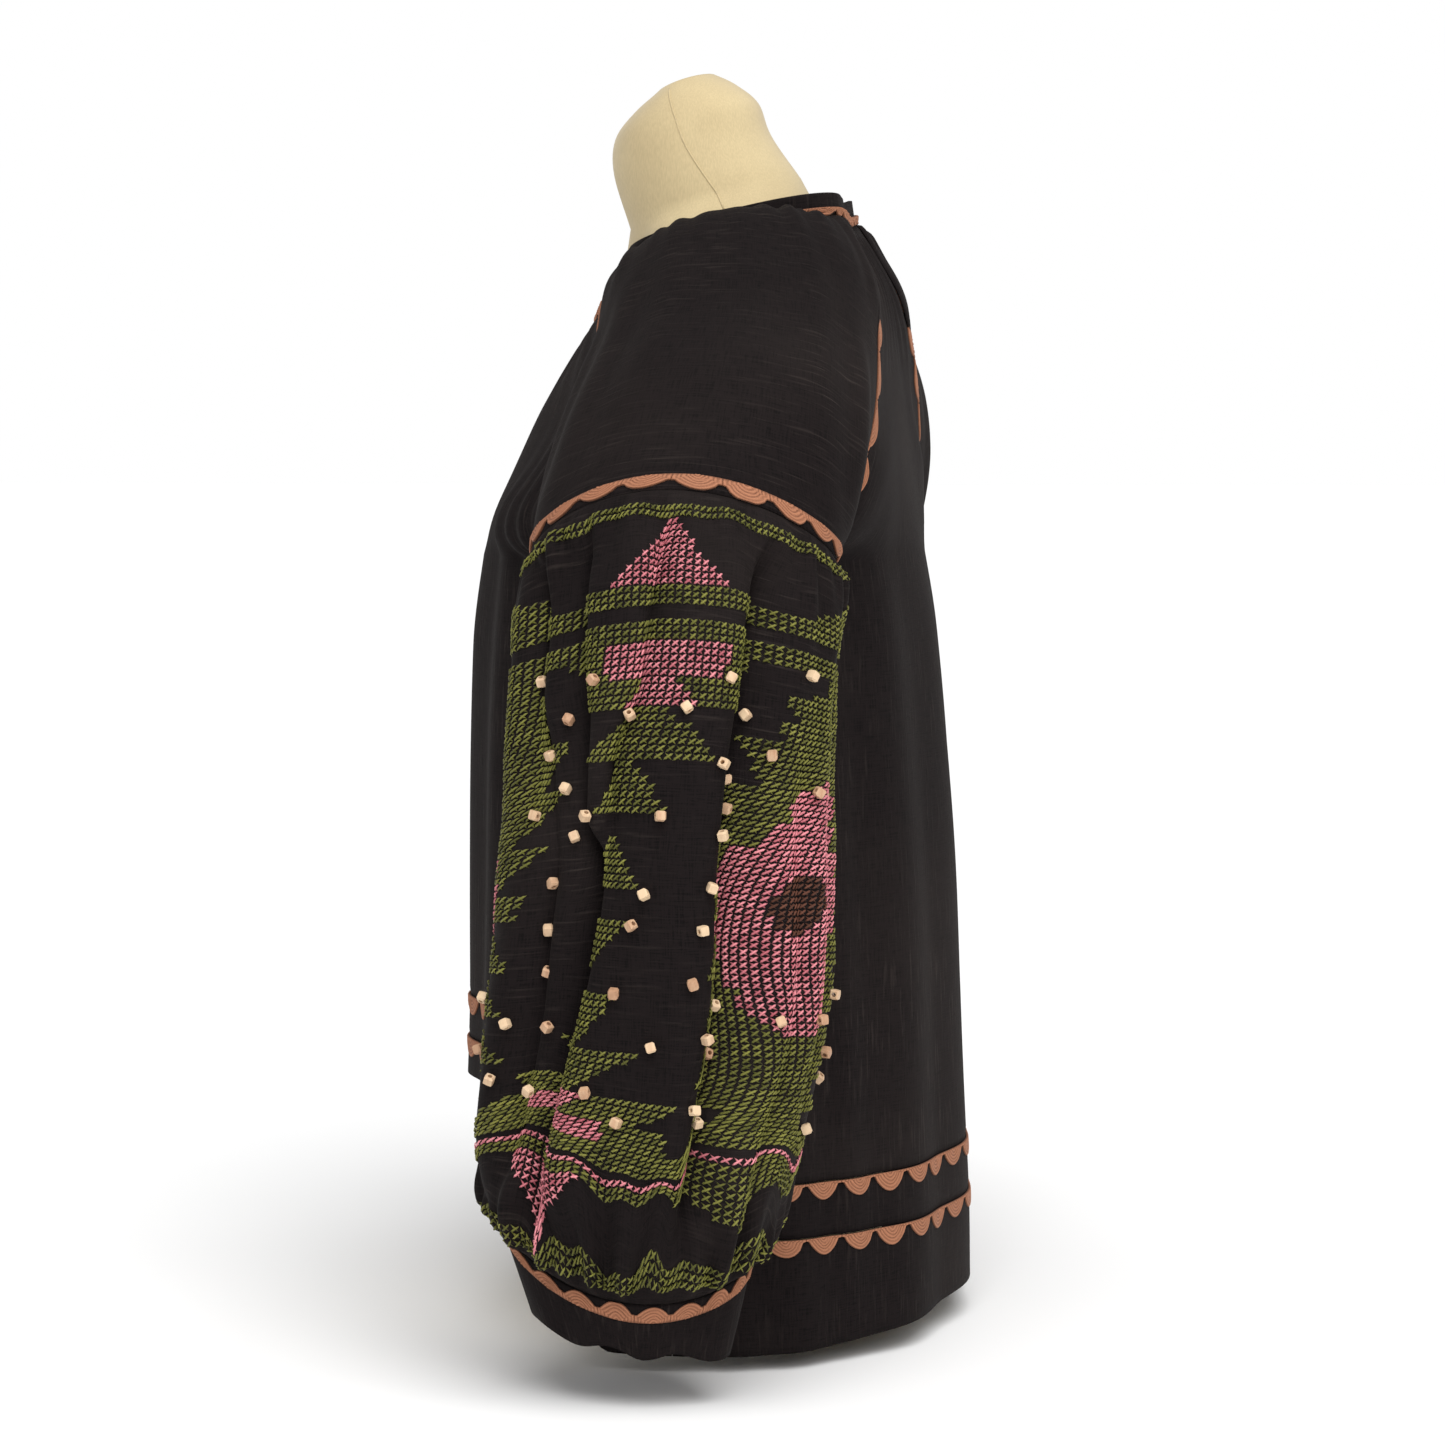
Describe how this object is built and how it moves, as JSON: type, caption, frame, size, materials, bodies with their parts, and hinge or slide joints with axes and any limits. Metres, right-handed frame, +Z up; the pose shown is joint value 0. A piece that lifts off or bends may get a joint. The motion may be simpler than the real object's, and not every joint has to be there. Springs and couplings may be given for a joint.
{
  "type": "embroidered raglan top on a limbless dress form",
  "caption": "Dark slub-weave raglan top with embroidered balloon sleeves, scalloped tapes and a high-low hem, worn on a limbless dress form.",
  "frame": {"origin": "on the floor, under the middle of the whole object, level with the form's flat base", "axes": "+Z up, -Y the front of the garment, +X the wearer's left"},
  "size_m": [0.662, 0.3029, 0.7413],
  "materials": {
    "cloth": "matte slub weave",
    "tape": "satin stitch",
    "form_cover": "matte jersey",
    "green_thread": "satin thread",
    "pink_thread": "satin thread",
    "brown_thread": "satin thread",
    "bead_wood": "oiled"
  },
  "bodies": {
    "root": {"front_panel": "cloth", "back_panel": "cloth", "front_middle_band": "cloth", "back_middle_band": "cloth", "front_hem_band": "cloth", "back_hem_band": "cloth", "neck_band": "cloth", "left_upper_sleeve": "cloth", "right_upper_sleeve": "cloth", "left_lower_sleeve": "cloth", "right_lower_sleeve": "cloth", "left_cuff": "cloth", "right_cuff": "cloth", "neck_tape": "tape", "front_hem_tape_upper": "tape", "front_hem_tape_lower": "tape", "back_hem_tape_upper": "tape", "back_hem_tape_lower": "tape", "left_sleeve_tape": "tape", "right_sleeve_tape": "tape", "left_cuff_tape": "tape", "right_cuff_tape": "tape", "left_front_raglan_tape": "tape", "left_back_raglan_tape": "tape", "right_front_raglan_tape": "tape", "right_back_raglan_tape": "tape", "dress_form": "form_cover"}
  },
  "joints": []
}
